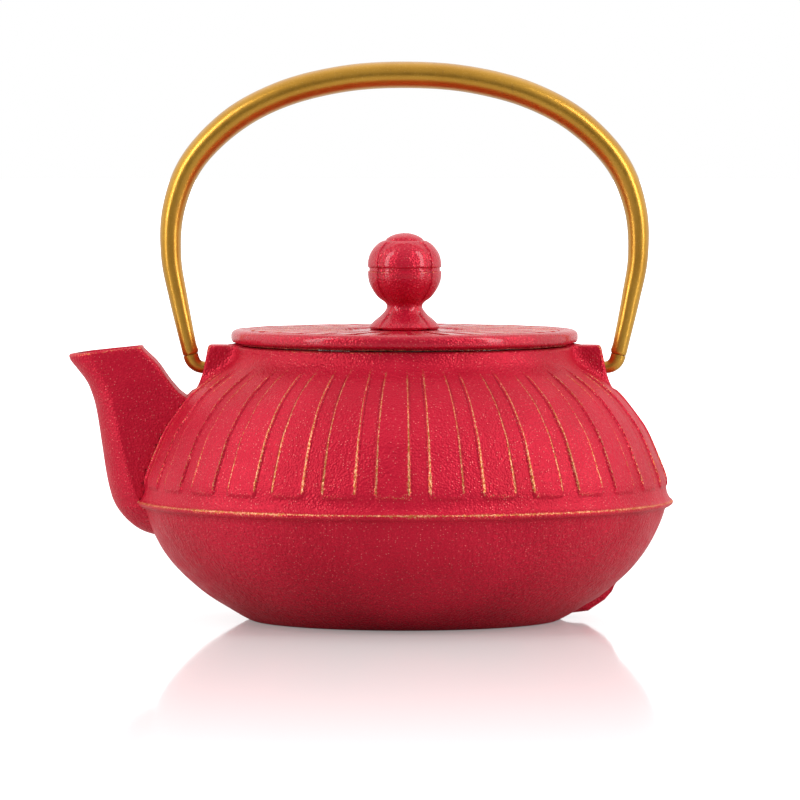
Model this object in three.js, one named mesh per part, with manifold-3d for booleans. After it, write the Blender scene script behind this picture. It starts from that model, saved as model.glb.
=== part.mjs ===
// A cast iron teapot with a gold bail handle, a lid with a knob, and a steel tea infuser.
// Millimetres, +Z up. The origin is the centre of the flat base, and the spout points along -X.
import * as THREE from "three";
import { mergeVertices } from "three/addons/utils/BufferGeometryUtils.js";
import Module from "manifold-3d";

// ---- Driving dimensions

// Pot body
const BASE_RADIUS = 47;
const BELT_RADIUS = 81.9; // the ring round the widest place
const BELT_HEIGHT = 36.2;
const COLLAR_RADIUS = 51.1;
const COLLAR_TOP = 83.6;
const MOUTH_RADIUS = 45.5;
const FLOOR_THICKNESS = 4.2;

// Lugs and the axis that the handle turns about
const PIVOT_HEIGHT = 77;
const LUG_FACE = 61.2; // the lug's outer face at the height of the pivot
const LUG_HALF_WIDTH = 5.5;
const LUG_HOLE_RADIUS = 2.1;
const LUG_HOLE_END = 54;

// The ground stub of the casting gate, low on the bowl behind the right side
const GATE_ANGLE = 8;
const GATE_WIDTH = 12;
const GATE_BOTTOM = 2.3;

// Handle
const HOOK_RADIUS = 1.7;
const HOOK_TIP = 54.8;
const SPIGOT_RADIUS = 1.05;
const SPIGOT_LENGTH = 7;
const TUBE_TOP = { thick: 8.1, wide: 10.6, wall: 1.2 };
const TUBE_END = { thick: 4.8, wide: 5, wall: 0.8 };
const TUBE_STEPS = 38;
const TUBE_SIDES = 12;

// Lid and knob
const LID_RADIUS = 52.9;
const LID_UNDERSIDE = 84.6;
const LID_TOP = 88.5;
const SKIRT_RADIUS = 40.6;
const SKIRT_BOTTOM = 79;
const BOSS_BOTTOM = 83.6;
const KNOB_BOTTOM = LID_TOP + 0.3;
const STUD_RADIUS = 2;
const STUD_BOTTOM = 78.2;
const STUD_TOP = 100.6;
const STUD_CLEARANCE = 0.4;

// Infuser
const WALL_RADIUS = 42;
const SHEET = 0.8;
const THIN_SHEET = 0.6;
const INFUSER_BOTTOM = 35.2;
const FLANGE_RADIUS = 48.4;
const FLANGE_BOTTOM = COLLAR_TOP + 0.3;
const FLANGE_TOP = FLANGE_BOTTOM + 0.4;

const ROUND_STEPS = 48;
const GAP = 0.3; // left between pieces that touch

// ---- Materials

const redIron = new THREE.MeshStandardMaterial({ color: 0xb01c30, roughness: 0.45, metalness: 0.1 });
const gold = new THREE.MeshStandardMaterial({ color: 0xb8892f, roughness: 0.3, metalness: 0.9 });
const steel = new THREE.MeshStandardMaterial({ color: 0xc4c6c8, roughness: 0.3, metalness: 1 });

// ---- Helpers

const wasm = await Module();
wasm.setup();

// A manifold-3d solid of a closed geometry.
function solidOf(geometry) {
  const bare = geometry.clone();
  bare.deleteAttribute("normal");
  bare.deleteAttribute("uv");
  const merged = mergeVertices(bare, 1e-3);
  const vertProperties = merged.attributes.position.array;
  const triVerts = new Uint32Array(merged.index.array);
  return new wasm.Manifold(new wasm.Mesh({ numProp: 3, vertProperties, triVerts }));
}

function geometryOf(solid) {
  const { vertProperties, triVerts } = solid.getMesh();
  const geometry = new THREE.BufferGeometry();
  geometry.setAttribute("position", new THREE.BufferAttribute(vertProperties, 3));
  geometry.setIndex(new THREE.BufferAttribute(triVerts, 1));
  geometry.computeVertexNormals();
  return geometry;
}

// A profile of [radius, height] pairs turned about Z.
function turned(profile, steps = ROUND_STEPS) {
  const points = profile.map(([radius, height]) => new THREE.Vector2(radius, height));
  return new THREE.LatheGeometry(points, steps).rotateX(Math.PI / 2);
}

// A ring whose closed profile stays clear of the axis.
function turnedRing(profile, steps = ROUND_STEPS) {
  return turned([...profile, profile[0]], steps);
}

// An outline of [x, height] pairs in the XZ plane, made into a plate that is centred on Y = 0.
function plate(outline, width) {
  const shape = new THREE.Shape(outline.map(([x, height]) => new THREE.Vector2(x, height)));
  const geometry = new THREE.ExtrudeGeometry(shape, { depth: width, bevelEnabled: false });
  return geometry.rotateX(Math.PI / 2).translate(0, width / 2, 0);
}

// A closed skin through rings of points, with a flat fan over each end.
function loft(rings) {
  const count = rings[0].length;
  const centre = (ring) => ring.reduce((sum, p) => sum.add(p), new THREE.Vector3()).divideScalar(count);
  const points = [...rings.flat(), centre(rings[0]), centre(rings.at(-1))];
  const index = [];
  for (let k = 0; k < count; k += 1) {
    const next = (k + 1) % count;
    for (let ring = 0; ring < rings.length - 1; ring += 1) {
      const low = ring * count;
      const high = low + count;
      index.push(low + k, low + next, high + next, low + k, high + next, high + k);
    }
    const top = (rings.length - 1) * count;
    index.push(points.length - 2, next, k, points.length - 1, top + k, top + next);
  }
  const geometry = new THREE.BufferGeometry().setFromPoints(points);
  geometry.setIndex(index);
  return geometry;
}

function lerp(from, to, amount) {
  return from + (to - from) * amount;
}

// ---- Pot body: bowl, dome, collar, belt, spout, lugs and gate stub in one casting

function potShell() {
  return turned([
    [0, 0],
    [BASE_RADIUS, 0],
    [50.9, 2.2],
    [54.2, 4.1],
    [59.9, 7.6],
    [64.3, 11.1],
    [68.2, 14.7],
    [71.5, 18.4],
    [74.1, 22],
    [77, 27.4],
    [79.3, BELT_HEIGHT - 3.2],
    [80, BELT_HEIGHT - 2],
    [81.2, BELT_HEIGHT - 1.2],
    [BELT_RADIUS, BELT_HEIGHT - 0.4],
    [BELT_RADIUS, BELT_HEIGHT + 0.2],
    [81.2, BELT_HEIGHT + 1.1],
    [80.4, BELT_HEIGHT + 2.3],
    [79.9, BELT_HEIGHT + 4],
    [79.5, 43.8],
    [78.2, 47.4],
    [76.7, 51.1],
    [73.4, 58.4],
    [70.9, 62.1],
    [66.6, 67.6],
    [62.7, 71.2],
    [57.2, 75.3],
    [54.2, 77.4],
    [52.2, 79.4],
    [51.3, 81.3],
    [COLLAR_RADIUS, COLLAR_TOP - 0.6],
    [COLLAR_RADIUS - 0.6, COLLAR_TOP],
    [0, COLLAR_TOP],
  ]);
}

function potCavity() {
  return turned([
    [0, FLOOR_THICKNESS],
    [44, FLOOR_THICKNESS],
    [52.4, 7.2],
    [62, 13.8],
    [68.7, 20.6],
    [73.8, 29],
    [76, 37],
    [74.9, 46],
    [72.1, 52.9],
    [68.1, 59.9],
    [64.1, 65],
    [60.4, 68.4],
    [52, 73],
    [46.5, 76.2],
    [MOUTH_RADIUS, 78.5],
    [MOUTH_RADIUS, COLLAR_TOP + 2],
    [0, COLLAR_TOP + 2],
  ]);
}

// One level slice of the spout: a rounded nose at the tip, flat sides, and rounded back corners.
// The top slice rises by lift from its tip to its back.
function spoutSlice([height, tip, back, half, nose], lift = 0) {
  const corner = Math.min(3, half / 2);
  const outline = [];
  for (let k = -4; k <= 4; k += 1) {
    const turn = (k / 4) * (Math.PI / 2);
    outline.push([tip + nose * (1 - Math.cos(turn)), -half * Math.sin(turn)]);
  }
  for (const side of [-1, 1]) {
    const corners = [
      [back - corner, side * half * 0.94],
      [back - corner * 0.3, side * (half * 0.94 - corner * 0.3)],
      [back, side * (half * 0.94 - corner)],
    ];
    outline.push(...(side < 0 ? corners : corners.reverse()));
  }
  return outline.map(
    ([x, y]) => new THREE.Vector3(x, y, height + (lift * (x - tip)) / (back - tip)),
  );
}

const MOUTH_LIFT = 2.4;

function spoutOutside() {
  const levels = [
    [25, -73, -58, 5, 6],
    [27.3, -80.4, -58, 8.4, 8],
    [31, -85.2, -58, 11, 9],
    [35.5, -88.5, -58, 12.6, 9],
    [41, -90.3, -58, 13.2, 8.5],
    [54.7, -92.6, -58, 12.4, 7.5],
    [64, -94, -58, 11.4, 6.5],
    [69.4, -95.6, -68.7, 10.8, 6],
    [73, -97.4, -72.1, 10.5, 5.5],
    [76.7, -100.2, -75, 10.2, 5.5],
    [79.6, -102.2, -77.6, 10, 5.5],
  ];
  const mouth = [81, -102, -80.2, 10, 5.5];
  return loft([...levels.map((level) => spoutSlice(level)), spoutSlice(mouth, MOUTH_LIFT)]);
}

function spoutBore() {
  const levels = [
    [32.5, -82.6, -64, 7.6, 4],
    [36, -85.4, -64, 9.2, 3.6],
    [41, -87.4, -64, 10, 3.6],
    [54.7, -89.7, -64, 9.4, 3.6],
    [57, -90, -66, 9.2, 3.6],
    [60.5, -90.4, -74.4, 9, 3.6],
    [64, -91.1, -74, 8.6, 3.6],
    [69.4, -92.7, -73.2, 8.1, 3.6],
    [73, -94.5, -75.6, 7.9, 3.6],
    [76.7, -97.2, -78.2, 7.7, 3.6],
    [86, -101.4, -83.2, 7.5, 3.6],
  ];
  return loft(levels.map((level) => spoutSlice(level)));
}

function lug() {
  return plate(
    [
      [46.5, 68],
      [61, 68],
      [62, 72.4],
      [LUG_FACE, PIVOT_HEIGHT],
      [59.9, COLLAR_TOP - 0.4],
      [59.3, COLLAR_TOP + 0.2],
      [46.5, COLLAR_TOP - 0.3],
    ],
    2 * LUG_HALF_WIDTH,
  );
}

function lugHole() {
  const length = 12;
  const hole = new THREE.CylinderGeometry(LUG_HOLE_RADIUS, LUG_HOLE_RADIUS, length, 20);
  return hole.rotateZ(Math.PI / 2).translate(LUG_HOLE_END + length / 2, 0, PIVOT_HEIGHT);
}

function gateStub() {
  const outline = [
    [48, GATE_BOTTOM],
    [56, GATE_BOTTOM],
    [61.2, 5.6],
    [63.5, 8.2],
    [64.8, 11.6],
    [55, 9],
  ];
  return plate(outline, GATE_WIDTH).rotateZ(THREE.MathUtils.degToRad(GATE_ANGLE));
}

function potBody() {
  let body = solidOf(potShell()).add(solidOf(spoutOutside())).add(solidOf(gateStub()));
  for (const turn of [0, Math.PI]) body = body.add(solidOf(lug().rotateZ(turn)));
  body = body.subtract(solidOf(potCavity())).subtract(solidOf(spoutBore()));
  for (const turn of [0, Math.PI]) body = body.subtract(solidOf(lugHole().rotateZ(turn)));
  return geometryOf(body);
}

// ---- Handle: a tapered tube bent to an arch, with a hook in each end

const archHalf = [
  [19.5, 164.8],
  [38, 160],
  [53.1, 151.7],
  [65.2, 138.9],
  [70.5, 125],
  [71.2, 111],
  [69, 98],
  [65.3, 80.9],
];
const archPoints = [
  ...[...archHalf].reverse().map(([x, z]) => new THREE.Vector3(-x, 0, z)),
  new THREE.Vector3(0, 0, 166.2),
  ...archHalf.map(([x, z]) => new THREE.Vector3(x, 0, z)),
];
const arch = new THREE.CatmullRomCurve3(archPoints, false, "centripetal");

// The tube keeps its full section over the top and tapers down both legs.
function tubeSection(along) {
  const fromTop = Math.abs(2 * along - 1);
  const full = 1 - Math.max(0, (fromTop - 0.4) / 0.6) ** 1.28;
  return {
    thick: lerp(TUBE_END.thick, TUBE_TOP.thick, full),
    wide: lerp(TUBE_END.wide, TUBE_TOP.wide, full),
    wall: lerp(TUBE_END.wall, TUBE_TOP.wall, full),
  };
}

function tubeRing(along, inset, overshoot) {
  const { thick, wide, wall } = tubeSection(along);
  const tangent = arch.getTangentAt(along);
  const centre = arch.getPointAt(along).addScaledVector(tangent, overshoot);
  const outward = new THREE.Vector3(-tangent.z, 0, tangent.x);
  const ring = [];
  for (let k = 0; k < TUBE_SIDES; k += 1) {
    const turn = (2 * Math.PI * k) / TUBE_SIDES;
    const point = centre.clone().addScaledVector(outward, (thick / 2 - inset * wall) * Math.cos(turn));
    point.y = -(wide / 2 - inset * wall) * Math.sin(turn);
    ring.push(point);
  }
  return ring;
}

function tubeSkin(inset, overshoot) {
  const rings = [];
  for (let step = 0; step <= TUBE_STEPS; step += 1) {
    const past = step === 0 ? -overshoot : step === TUBE_STEPS ? overshoot : 0;
    rings.push(tubeRing(step / TUBE_STEPS, inset, past));
  }
  return loft(rings);
}

function handleTube() {
  return geometryOf(solidOf(tubeSkin(0, 0)).subtract(solidOf(tubeSkin(1, 1))));
}

// The right hook: level in the lug's hole, then bent up to the tube's end, with a spigot inside the tube.
function hook() {
  const up = arch.getTangentAt(1).negate();
  const shoulder = arch.getPointAt(1).addScaledVector(up, -GAP);
  const path = new THREE.CurvePath();
  const bendStart = new THREE.Vector3(LUG_FACE - 0.2, 0, PIVOT_HEIGHT);
  const bendCorner = shoulder.clone().addScaledVector(up, (PIVOT_HEIGHT - shoulder.z) / up.z);
  path.add(new THREE.LineCurve3(new THREE.Vector3(HOOK_TIP, 0, PIVOT_HEIGHT), bendStart));
  path.add(new THREE.QuadraticBezierCurve3(bendStart, bendCorner, shoulder));
  const section = new THREE.Shape();
  section.absarc(0, 0, HOOK_RADIUS, 0, 2 * Math.PI, false);
  const rod = new THREE.ExtrudeGeometry(section, { steps: 12, curveSegments: 6, extrudePath: path });
  const spigot = new THREE.CylinderGeometry(SPIGOT_RADIUS, SPIGOT_RADIUS, SPIGOT_LENGTH + 1, 12);
  spigot.applyQuaternion(new THREE.Quaternion().setFromUnitVectors(new THREE.Vector3(0, 1, 0), up));
  const middle = shoulder.clone().addScaledVector(up, (SPIGOT_LENGTH - 1) / 2);
  spigot.translate(middle.x, middle.y, middle.z);
  return geometryOf(solidOf(rod).add(solidOf(spigot)));
}

// ---- Lid and knob

function lid() {
  const bore = STUD_RADIUS + STUD_CLEARANCE;
  return turnedRing([
    [bore, BOSS_BOTTOM],
    [9, BOSS_BOTTOM],
    [10.5, LID_UNDERSIDE],
    [SKIRT_RADIUS - 3, LID_UNDERSIDE],
    [SKIRT_RADIUS - 2.6, SKIRT_BOTTOM],
    [SKIRT_RADIUS - 0.5, SKIRT_BOTTOM],
    [SKIRT_RADIUS, SKIRT_BOTTOM + 0.8],
    [SKIRT_RADIUS, LID_UNDERSIDE],
    [LID_RADIUS - 0.9, LID_UNDERSIDE],
    [LID_RADIUS, LID_UNDERSIDE + 0.9],
    [LID_RADIUS, LID_TOP - 1.3],
    [LID_RADIUS - 1.1, LID_TOP - 0.2],
    [LID_RADIUS - 3.5, LID_TOP],
    [bore, LID_TOP],
  ]);
}

function knob() {
  const bore = STUD_RADIUS + GAP;
  return turned([
    [0, STUD_TOP + 0.4],
    [bore, STUD_TOP + 0.4],
    [bore, KNOB_BOTTOM],
    [10.5, KNOB_BOTTOM],
    [10.6, 89.5],
    [9.3, 91],
    [7.9, 92.2],
    [6.6, 93.4],
    [5.7, 94.6],
    [5.4, 95.6],
    [6, 97],
    [8, 98.6],
    [9.7, 100.7],
    [10.8, 103.2],
    [11.1, 106.2],
    [10.7, 106.6],
    [10.7, 107.4],
    [11.1, 107.8],
    [10.9, 109.8],
    [10.3, 111.8],
    [9.3, 113.5],
    [7.8, 114.9],
    [6, 115.9],
    [4.5, 116.9],
    [2.3, 117.7],
    [0, 118],
  ], 36);
}

function stud() {
  return turned([
    [0, STUD_BOTTOM],
    [STUD_RADIUS - 0.4, STUD_BOTTOM],
    [STUD_RADIUS, STUD_BOTTOM + 0.4],
    [STUD_RADIUS, STUD_TOP - 0.4],
    [STUD_RADIUS - 0.4, STUD_TOP],
    [0, STUD_TOP],
  ], 20);
}

function washer() {
  const inner = STUD_RADIUS + GAP;
  const top = BOSS_BOTTOM - GAP;
  return turnedRing([[inner, top - SHEET], [5.5, top - SHEET], [5.5, top], [inner, top]], 28);
}

function nut() {
  const acrossFlats = 7;
  const height = 3;
  const top = BOSS_BOTTOM - GAP - SHEET - GAP;
  const inner = STUD_RADIUS + GAP;
  const corner = acrossFlats / Math.sqrt(3);
  const hexagon = new THREE.CylinderGeometry(corner, corner, height, 6).rotateX(Math.PI / 2);
  const hole = new THREE.CylinderGeometry(inner, inner, height + 2, 20).rotateX(Math.PI / 2);
  return geometryOf(solidOf(hexagon).subtract(solidOf(hole))).translate(0, 0, top - height / 2);
}

// ---- Infuser: a rim that lies on the collar, a wall, and a floor held by a crimped ring

function infuserRim() {
  const inner = WALL_RADIUS + GAP;
  return turnedRing([
    [inner, 76.5],
    [inner + THIN_SHEET, 76.5],
    [inner + THIN_SHEET, FLANGE_BOTTOM],
    [FLANGE_RADIUS, FLANGE_BOTTOM],
    [FLANGE_RADIUS, FLANGE_TOP],
    [inner, FLANGE_TOP],
  ]);
}

function infuserWall() {
  const bottom = INFUSER_BOTTOM + 2;
  const top = FLANGE_TOP - 0.1;
  return turnedRing([
    [WALL_RADIUS - SHEET, bottom],
    [WALL_RADIUS, bottom],
    [WALL_RADIUS, top],
    [WALL_RADIUS - SHEET, top],
  ]);
}

function infuserBaseRing() {
  const inner = WALL_RADIUS + GAP;
  return turnedRing([
    [WALL_RADIUS - 3, INFUSER_BOTTOM],
    [inner + THIN_SHEET, INFUSER_BOTTOM],
    [inner + THIN_SHEET, INFUSER_BOTTOM + 6],
    [inner, INFUSER_BOTTOM + 6],
    [inner, INFUSER_BOTTOM + THIN_SHEET],
    [WALL_RADIUS - 3, INFUSER_BOTTOM + THIN_SHEET],
  ]);
}

function infuserFloor() {
  const bottom = INFUSER_BOTTOM + THIN_SHEET + GAP;
  const radius = WALL_RADIUS - 0.1;
  return turned([[0, bottom], [radius, bottom], [radius, bottom + SHEET], [0, bottom + SHEET]]);
}

// ---- Assembly

const teapot = new THREE.Group();

function place(name, geometry, material, turn = 0) {
  const mesh = new THREE.Mesh(geometry, material);
  mesh.name = name;
  mesh.rotation.z = turn;
  teapot.add(mesh);
}

place("pot_body", potBody(), redIron);
place("handle_tube", handleTube(), gold);
place("handle_hook_right", hook(), gold);
place("handle_hook_left", hook(), gold, Math.PI);
place("lid", lid(), redIron);
place("knob", knob(), redIron);
place("knob_stud", stud(), steel);
place("knob_washer", washer(), steel);
place("knob_nut", nut(), steel);
place("infuser_rim", infuserRim(), steel);
place("infuser_wall", infuserWall(), steel);
place("infuser_base_ring", infuserBaseRing(), steel);
place("infuser_floor", infuserFloor(), steel);

export default teapot;
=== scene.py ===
"""A red cast iron teapot with a gold bail handle, a lid with a knob, and a steel tea infuser.

Shapes are written in millimetres about the pot's axis, with the spout along -X. piece() turns them into
metres."""
import math

import bmesh
import bpy
import numpy as np
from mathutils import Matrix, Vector, noise
from mathutils.bvhtree import BVHTree


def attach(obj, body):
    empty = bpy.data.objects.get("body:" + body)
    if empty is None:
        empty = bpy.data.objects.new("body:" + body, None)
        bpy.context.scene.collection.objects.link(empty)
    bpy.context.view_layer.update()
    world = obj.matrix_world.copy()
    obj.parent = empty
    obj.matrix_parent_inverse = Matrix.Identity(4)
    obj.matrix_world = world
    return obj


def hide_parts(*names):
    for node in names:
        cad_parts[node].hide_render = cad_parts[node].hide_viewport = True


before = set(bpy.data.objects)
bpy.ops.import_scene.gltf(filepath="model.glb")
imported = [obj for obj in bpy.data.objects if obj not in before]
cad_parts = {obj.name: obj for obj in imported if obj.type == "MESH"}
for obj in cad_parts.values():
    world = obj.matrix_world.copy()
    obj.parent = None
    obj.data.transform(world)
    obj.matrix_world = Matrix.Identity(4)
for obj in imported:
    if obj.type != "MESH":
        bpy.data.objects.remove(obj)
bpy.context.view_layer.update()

MM = 0.001

# ---- Dimensions in millimetres

BASE_RADIUS = 47
BELT_RADIUS = 81.95
BELT_HEIGHT = 36.2
COLLAR_TOP = 83.6
CAVITY_FLOOR = 4.2
PIVOT_HEIGHT = 77
LUG_HALF_WIDTH = 5.5
LUG_HOLE_RADIUS = 2.1
LUG_HOLE_END = 54
LUG_SEAM = 3.2  # how far from a lug's edge the seam with the pot is rounded
STUB_SEAM = 1.6

TAB_COUNT = 31
TAB_TURN = math.radians(0.3)  # where the first tab's middle stands
TAB_HALF = math.radians(4)
TAB_RELIEF = 0.45
TAB_BOTTOM = 40.7
TAB_CORNER = 1.3
TAB_SLOPE = 0.65  # width of the sloped edge of a tab
TAB_RIM = 0.65  # how far inside its outline a tab is rubbed most
TAB_BEAD = 0.14  # a tab's edge stands above its middle by this
TAB_FADE = (74, 79)  # the heights between which the tabs fade out

LID_RADIUS = 52.9
LID_UNDERSIDE = 84.6
LID_TOP = 88.5
KNOB_BOTTOM = 88.55

TUBE_THICK = (4.7, 8.1)  # at the ends of the tube and in its middle
TUBE_WIDE = (4.9, 10.6)
TUBE_WALL = (0.7, 1.2)
HOOK_RADIUS = 1.7  # in the lug's hole
HOOK_BEND_RADIUS = 1.85
HOOK_SHOULDER_RADIUS = 2.33
HOOK_TIP = 54.8

INFUSER_RADIUS = 38
HOLE_PITCH = 1.9

STAINLESS = (0.62, 0.62, 0.61)


# ---- Lines and numbers

def curve_through(points, per_span=14):
    """A centripetal Catmull-Rom curve through the points, as an array of places."""
    given = np.asarray(points, float)
    line = np.vstack([2 * given[0] - given[1], given, 2 * given[-1] - given[-2]])
    amounts = np.linspace(0, 1, per_span, endpoint=False)[:, None]
    spans = []
    for k in range(1, len(line) - 2):
        before, start, end, after = line[k - 1:k + 3]
        steps = [max(np.linalg.norm(b - a), 1e-6) ** 0.5
                 for a, b in ((before, start), (start, end), (end, after))]
        leave = ((start - before) / steps[0] - (end - before) / (steps[0] + steps[1])
                 + (end - start) / steps[1]) * steps[1]
        arrive = ((end - start) / steps[1] - (after - start) / (steps[1] + steps[2])
                  + (after - end) / steps[2]) * steps[1]
        t = amounts
        spans.append((2 * t**3 - 3 * t**2 + 1) * start + (t**3 - 2 * t**2 + t) * leave
                     + (3 * t**2 - 2 * t**3) * end + (t**3 - t**2) * arrive)
    return np.vstack([*spans, given[-1:]])


def lengths_along(line):
    return np.concatenate([[0], np.cumsum(np.linalg.norm(np.diff(line, axis=0), axis=1))])


def places_at(line, stations):
    lengths = lengths_along(line)
    return np.column_stack([np.interp(stations, lengths, column) for column in line.T])


def spaced(line, step_at):
    """The line again, with a point after each step that step_at gives for the place reached."""
    lengths = lengths_along(line)
    stations = [0.0]
    while True:
        here = places_at(line, stations[-1:])[0]
        following = stations[-1] + step_at(*here)
        if following > lengths[-1] - 0.3 * step_at(*here):
            break
        stations.append(following)
    return places_at(line, np.array([*stations, lengths[-1]]))


def smooth(value, low, high):
    """0 below low, 1 above high, and a smooth rise between them."""
    amount = np.clip((value - low) / (high - low), 0, 1)
    return amount * amount * (3 - 2 * amount)


def lerp(start, end, amount):
    return start + (end - start) * amount


# ---- Meshes

def piece(name, vertices, faces, materials):
    """An object from vertices in millimetres."""
    mesh = bpy.data.meshes.new(name)
    mesh.from_pydata((np.asarray(vertices, float) * MM).tolist(), [], faces)
    for material in materials:
        mesh.materials.append(material)
    obj = bpy.data.objects.new(name, mesh)
    bpy.context.scene.collection.objects.link(obj)
    return obj


def ring_faces(rows, columns, first=0):
    """Quads between closed rows of points that follow each other."""
    faces = []
    for row in range(rows - 1):
        low = first + row * columns
        high = low + columns
        faces += [(low + k, low + (k + 1) % columns, high + (k + 1) % columns, high + k)
                  for k in range(columns)]
    return faces


def turned(profile, angles, relief=None):
    """Vertices and faces of a profile of (radius, height) turned about Z. A row on the axis is one
    point. relief(angles, radius, height) is how far each point stands out along the normal."""
    profile = np.asarray(profile, float)
    along = np.gradient(profile, axis=0)
    normals = np.column_stack([along[:, 1], -along[:, 0]])
    normals /= np.linalg.norm(normals, axis=1)[:, None]
    rows, vertices, faces = [], [], []
    for (radius, height), (out, up) in zip(profile, normals):
        rows.append((len(vertices), radius > 1e-6))
        if radius <= 1e-6:
            vertices.append((0, 0, height))
            continue
        stand = relief(angles, radius, height) if relief else 0 * angles
        far = radius + out * stand
        vertices += list(zip(far * np.cos(angles), far * np.sin(angles), height + up * stand))
    columns = len(angles)
    for (low, low_round), (high, high_round) in zip(rows, rows[1:]):
        for k in range(columns):
            following = (k + 1) % columns
            if low_round and high_round:
                faces.append((low + k, low + following, high + following, high + k))
            elif high_round:
                faces.append((low, high + following, high + k))
            elif low_round:
                faces.append((low + k, low + following, high))
    return vertices, faces


def turned_ring(profile, angles, relief=None):
    """As turned, for a closed profile that stays clear of the axis."""
    closed = np.vstack([profile, profile[:1]])
    vertices, faces = turned(closed, angles, relief)
    count = len(profile) * len(angles)
    return vertices[:count], [tuple(k % count for k in face) for face in faces]


def capped(rings):
    """Vertices and faces of a skin through rings of points, with a fan over each end."""
    rings = [np.asarray(ring, float) for ring in rings]
    columns = len(rings[0])
    vertices = np.vstack([*rings, rings[0].mean(0)[None], rings[-1].mean(0)[None]])
    faces = ring_faces(len(rings), columns)
    top = (len(rings) - 1) * columns
    for k in range(columns):
        following = (k + 1) % columns
        faces.append((len(vertices) - 2, following, k))
        faces.append((len(vertices) - 1, top + k, top + following))
    return vertices, faces


def finish_faces(obj, sharp=40):
    """Outward faces, smooth shading, and sharp edges where faces meet at more than the given angle."""
    work = bmesh.new()
    work.from_mesh(obj.data)
    bmesh.ops.recalc_face_normals(work, faces=work.faces)
    work.to_mesh(obj.data)
    work.free()
    obj.data.shade_smooth()
    obj.data.set_sharp_from_angle(angle=math.radians(sharp))


def combined(base, others, operation):
    """Joins the other objects to the base, or cuts them from it. The others are used up."""
    for other in others:
        step = base.modifiers.new("step", "BOOLEAN")
        step.operation, step.solver, step.object = operation, "MANIFOLD", other
    graph = bpy.context.evaluated_depsgraph_get()
    mesh = bpy.data.meshes.new_from_object(base.evaluated_get(graph))
    base.modifiers.clear()
    base.data = mesh
    for other in others:
        bpy.data.objects.remove(other)


def points_of(mesh):
    found = np.empty(3 * len(mesh.vertices), np.float32)
    mesh.vertices.foreach_get("co", found)
    return found.reshape(-1, 3).astype(float) / MM


def set_points(mesh, points):
    mesh.vertices.foreach_set("co", (points * MM).astype(np.float32).ravel())
    mesh.update()


def normals_of(mesh):
    found = np.empty(3 * len(mesh.vertices), np.float32)
    mesh.vertex_normals.foreach_get("vector", found)
    return found.reshape(-1, 3)


def edges_of(mesh):
    found = np.empty(2 * len(mesh.edges), np.int32)
    mesh.edges.foreach_get("vertices", found)
    return found.reshape(-1, 2).T


def mark_edges(obj, faint=0.25, full=1.3):
    """Stores how sharply each point stands out, as wear, or lies in a hollow, as hollow, both 0 to 1.
    Bends below faint, per millimetre, count as 0 and those above full as 1."""
    mesh = obj.data
    points = points_of(mesh)
    normals = normals_of(mesh)
    start, end = edges_of(mesh)
    apart = points[start] - points[end]
    square = (apart**2).sum(1)
    real = square > 0.015
    start, end, apart, square = start[real], end[real], apart[real], square[real]
    ends = np.concatenate([start, end])
    bends = np.concatenate([2 * (normals[start] * apart).sum(1) / square,
                            -2 * (normals[end] * apart).sum(1) / square])
    counts = np.maximum(np.bincount(ends, minlength=len(points)), 1)
    bend = np.bincount(ends, bends, minlength=len(points)) / counts
    around = np.bincount(ends, bend[np.concatenate([end, start])], minlength=len(points)) / counts
    bend = 0.6 * bend + 0.4 * around
    for name, amount in (("wear", bend), ("hollow", -bend)):
        values = np.clip((amount - faint) / (full - faint), 0, 1).astype(np.float32)
        mesh.attributes.new(name, "FLOAT", "POINT").data.foreach_set("value", values)


def roughen(obj, height, size, only=None):
    """Moves points along their normals by a slow noise, as on a sand cast surface. only(points) gives
    how much of it each point takes."""
    mesh = obj.data
    points = points_of(mesh)
    waves = np.array([noise.noise(Vector(point / size)) for point in points])
    if only is not None:
        waves = waves * only(points)
    set_points(mesh, points + height * waves[:, None] * normals_of(mesh))


# ---- Seams of a casting

def field_of_profile(line):
    """Distance to a turned profile, and the direction away from it."""
    along = np.gradient(line, axis=0)
    outward = np.column_stack([along[:, 1], -along[:, 0]])
    outward /= np.linalg.norm(outward, axis=1)[:, None]

    def field(points):
        radius = np.hypot(points[:, 0], points[:, 1])
        flat = np.column_stack([radius, points[:, 2]])
        nearest = ((flat[:, None, :] - line[None]) ** 2).sum(2).argmin(1)
        distance = ((flat - line[nearest]) * outward[nearest]).sum(1)
        out, up = outward[nearest].T
        away = np.column_stack([out * points[:, 0] / radius, out * points[:, 1] / radius, up])
        return distance, away

    return field


def field_of_object(obj):
    """Distance to a closed object, and the direction away from it."""
    tree = BVHTree.FromPolygons([tuple(p) for p in points_of(obj.data)],
                                [tuple(face.vertices) for face in obj.data.polygons])

    def field(points):
        distances, directions = [], []
        for point in points:
            place, normal, _, distance = tree.find_nearest(Vector(point))
            away = Vector(point) - place
            side = 1 if away.dot(normal) >= 0 else -1
            directions.append(tuple(side * away / distance if distance > 1e-3 else normal))
            distances.append(side * distance)
        return np.array(distances), np.array(directions)

    return field


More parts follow.
